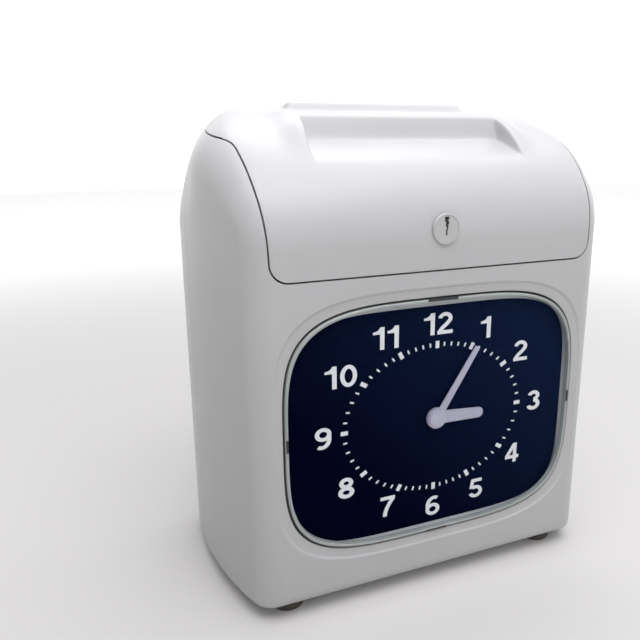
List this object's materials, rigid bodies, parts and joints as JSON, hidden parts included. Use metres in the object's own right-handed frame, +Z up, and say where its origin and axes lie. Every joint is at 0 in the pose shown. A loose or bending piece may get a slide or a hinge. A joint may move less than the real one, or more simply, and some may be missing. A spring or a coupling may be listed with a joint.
{
  "type": "punch time clock",
  "caption": "Desk time recorder: moulded housing, analogue dial behind a clear window, hinged locking top cover with a card slot, card feed and printer inside.",
  "frame": {"origin": "on the table plane under the middle of the object", "axes": "+Z up, +Y towards the back, +X to the right as seen from the front"},
  "size_m": [0.21, 0.116, 0.243],
  "materials": {
    "housing_plastic": "satin moulded plastic",
    "pale_plastic": "matt moulded plastic",
    "clear_plastic": "clear moulded plastic",
    "dial_navy": "fine-grained printed card",
    "print_white": "printed",
    "hand_lavender": "painted",
    "steel": "plated",
    "brass": "plain",
    "black_plastic": "moulded",
    "ivory_plastic": "moulded",
    "soft_black": "soft",
    "foot_rubber": "matt",
    "board_green": "solder mask",
    "button_grey": "moulded",
    "battery_blue": "shrink sleeve"
  },
  "bodies": {
    "base": {"front_case": "housing_plastic", "rear_case": "housing_plastic", "hinge_pins": "steel", "lens": "clear_plastic", "lens_frame": "pale_plastic", "dial_plate": "dial_navy", "dial_ticks": "print_white", "movement_plates": "brass", "movement_pillars": "steel", "movement_motor": "black_plastic", "chassis_frame": "steel", "chassis_bars": "steel", "card_guide_front": "steel", "card_guide_rear": "steel", "card_stop": "black_plastic", "platen": "soft_black", "guide_shafts": "steel", "carriage_belt": "soft_black", "belt_bracket": "steel", "carriage_motor": "black_plastic", "ribbon_cassette": "black_plastic", "ribbon_strand": "soft_black", "feed_bushes": "brass", "feed_motor": "black_plastic", "deck_panel": "pale_plastic", "setting_board": "board_green", "main_board": "board_green", "board_parts": "black_plastic", "transformer": "steel", "battery_pack": "battery_blue", "power_inlet": "black_plastic", "rubber_feet": "foot_rubber", "foot_screws": "steel", "case_screws": "steel"},
    "cover": {"top_cover": "housing_plastic", "lock_barrel": "housing_plastic", "lock_nut": "brass"},
    "lock": {"lock_plug": "steel", "lock_cam": "steel"},
    "minute": {"minute_hand": "hand_lavender", "hand_cap": "hand_lavender", "minute_arbor": "steel", "drive_wheel": "brass"},
    "hour": {"hour_hand": "hand_lavender", "hour_wheel": "brass"},
    "motion_wheel": {"minute_wheel": "brass"},
    "movement_rotor": {"motor_pinion": "steel"},
    "feed": {"feed_shaft": "steel", "feed_rollers": "soft_black", "feed_gear": "ivory_plastic"},
    "feed_rotor": {"feed_pinion": "steel"},
    "pinch": {"pinch_rollers": "soft_black"},
    "carriage": {"head_carriage": "black_plastic", "print_head": "black_plastic"},
    "pulley_left": {"drive_pulley": "ivory_plastic"},
    "pulley_right": {"idler_pulley": "ivory_plastic"},
    "ribbon_drive": {"ribbon_knob": "ivory_plastic"},
    "button_a": {"set_button_a": "button_grey"},
    "button_b": {"set_button_b": "button_grey"},
    "button_c": {"set_button_c": "button_grey"}
  },
  "joints": [
    {"name": "cover_hinge", "type": "hinge", "parent": "base", "child": "cover", "pos_m": [0, 0.05, 0.24], "axis": [-1, 0, 0], "range_deg": [0, 80]},
    {"name": "lock_turn", "type": "hinge", "parent": "cover", "child": "lock", "pos_m": [0, -0.041, 0.1828], "axis": [0, 1, 0], "range_deg": [0, 90]},
    {"name": "minute_spin", "type": "hinge", "parent": "base", "child": "minute", "pos_m": [0, -0.05, 0.09], "axis": [0, 1, 0], "continuous": true},
    {"name": "hour_spin", "type": "hinge", "parent": "base", "child": "hour", "pos_m": [0, -0.05, 0.09], "axis": [0, 1, 0], "continuous": true},
    {"name": "motion_wheel_spin", "type": "hinge", "parent": "base", "child": "motion_wheel", "pos_m": [0.012, -0.05, 0.09], "axis": [0, 1, 0], "continuous": true},
    {"name": "movement_rotor_spin", "type": "hinge", "parent": "base", "child": "movement_rotor", "pos_m": [-0.0175, -0.04, 0.09], "axis": [0, 1, 0], "continuous": true},
    {"name": "feed_spin", "type": "hinge", "parent": "base", "child": "feed", "pos_m": [0, 0.0147, 0.17], "axis": [1, 0, 0], "continuous": true},
    {"name": "feed_rotor_spin", "type": "hinge", "parent": "base", "child": "feed_rotor", "pos_m": [-0.06, 0.0355, 0.17], "axis": [1, 0, 0], "continuous": true},
    {"name": "pinch_spin", "type": "hinge", "parent": "base", "child": "pinch", "pos_m": [0, 0.0008, 0.17], "axis": [1, 0, 0], "continuous": true},
    {"name": "head_slide", "type": "slide", "parent": "base", "child": "carriage", "axis": [1, 0, 0], "range_m": [-0.03, 0.03]},
    {"name": "left_pulley_spin", "type": "hinge", "parent": "base", "child": "pulley_left", "pos_m": [-0.044, -0.015, 0.181], "axis": [0, 0, 1], "range_deg": [-290, 290]},
    {"name": "right_pulley_spin", "type": "hinge", "parent": "base", "child": "pulley_right", "pos_m": [0.044, -0.015, 0.181], "axis": [0, 0, 1], "range_deg": [-290, 290]},
    {"name": "ribbon_knob_spin", "type": "hinge", "parent": "base", "child": "ribbon_drive", "pos_m": [0.038, -0.0318, 0.2], "axis": [0, 0, 1], "continuous": true},
    {"name": "set_button_a_press", "type": "slide", "parent": "base", "child": "button_a", "axis": [0, 0, -1], "range_m": [0, 0.001], "stiffness_N_per_m": 400, "springref_m": -0.0005},
    {"name": "set_button_b_press", "type": "slide", "parent": "base", "child": "button_b", "axis": [0, 0, -1], "range_m": [0, 0.001], "stiffness_N_per_m": 400, "springref_m": -0.0005},
    {"name": "set_button_c_press", "type": "slide", "parent": "base", "child": "button_c", "axis": [0, 0, -1], "range_m": [0, 0.001], "stiffness_N_per_m": 400, "springref_m": -0.0005}
  ],
  "couplings": [
    {"joint": "hour_spin", "follows": "minute_spin", "ratio": 0.083333},
    {"joint": "motion_wheel_spin", "follows": "minute_spin", "ratio": -0.33333},
    {"joint": "movement_rotor_spin", "follows": "minute_spin", "ratio": -6},
    {"joint": "feed_rotor_spin", "follows": "feed_spin", "ratio": -3.3333},
    {"joint": "pinch_spin", "follows": "feed_spin", "ratio": -1.4545},
    {"joint": "left_pulley_spin", "follows": "head_slide", "rad_per_m": -166.67},
    {"joint": "right_pulley_spin", "follows": "head_slide", "rad_per_m": -166.67}
  ]
}
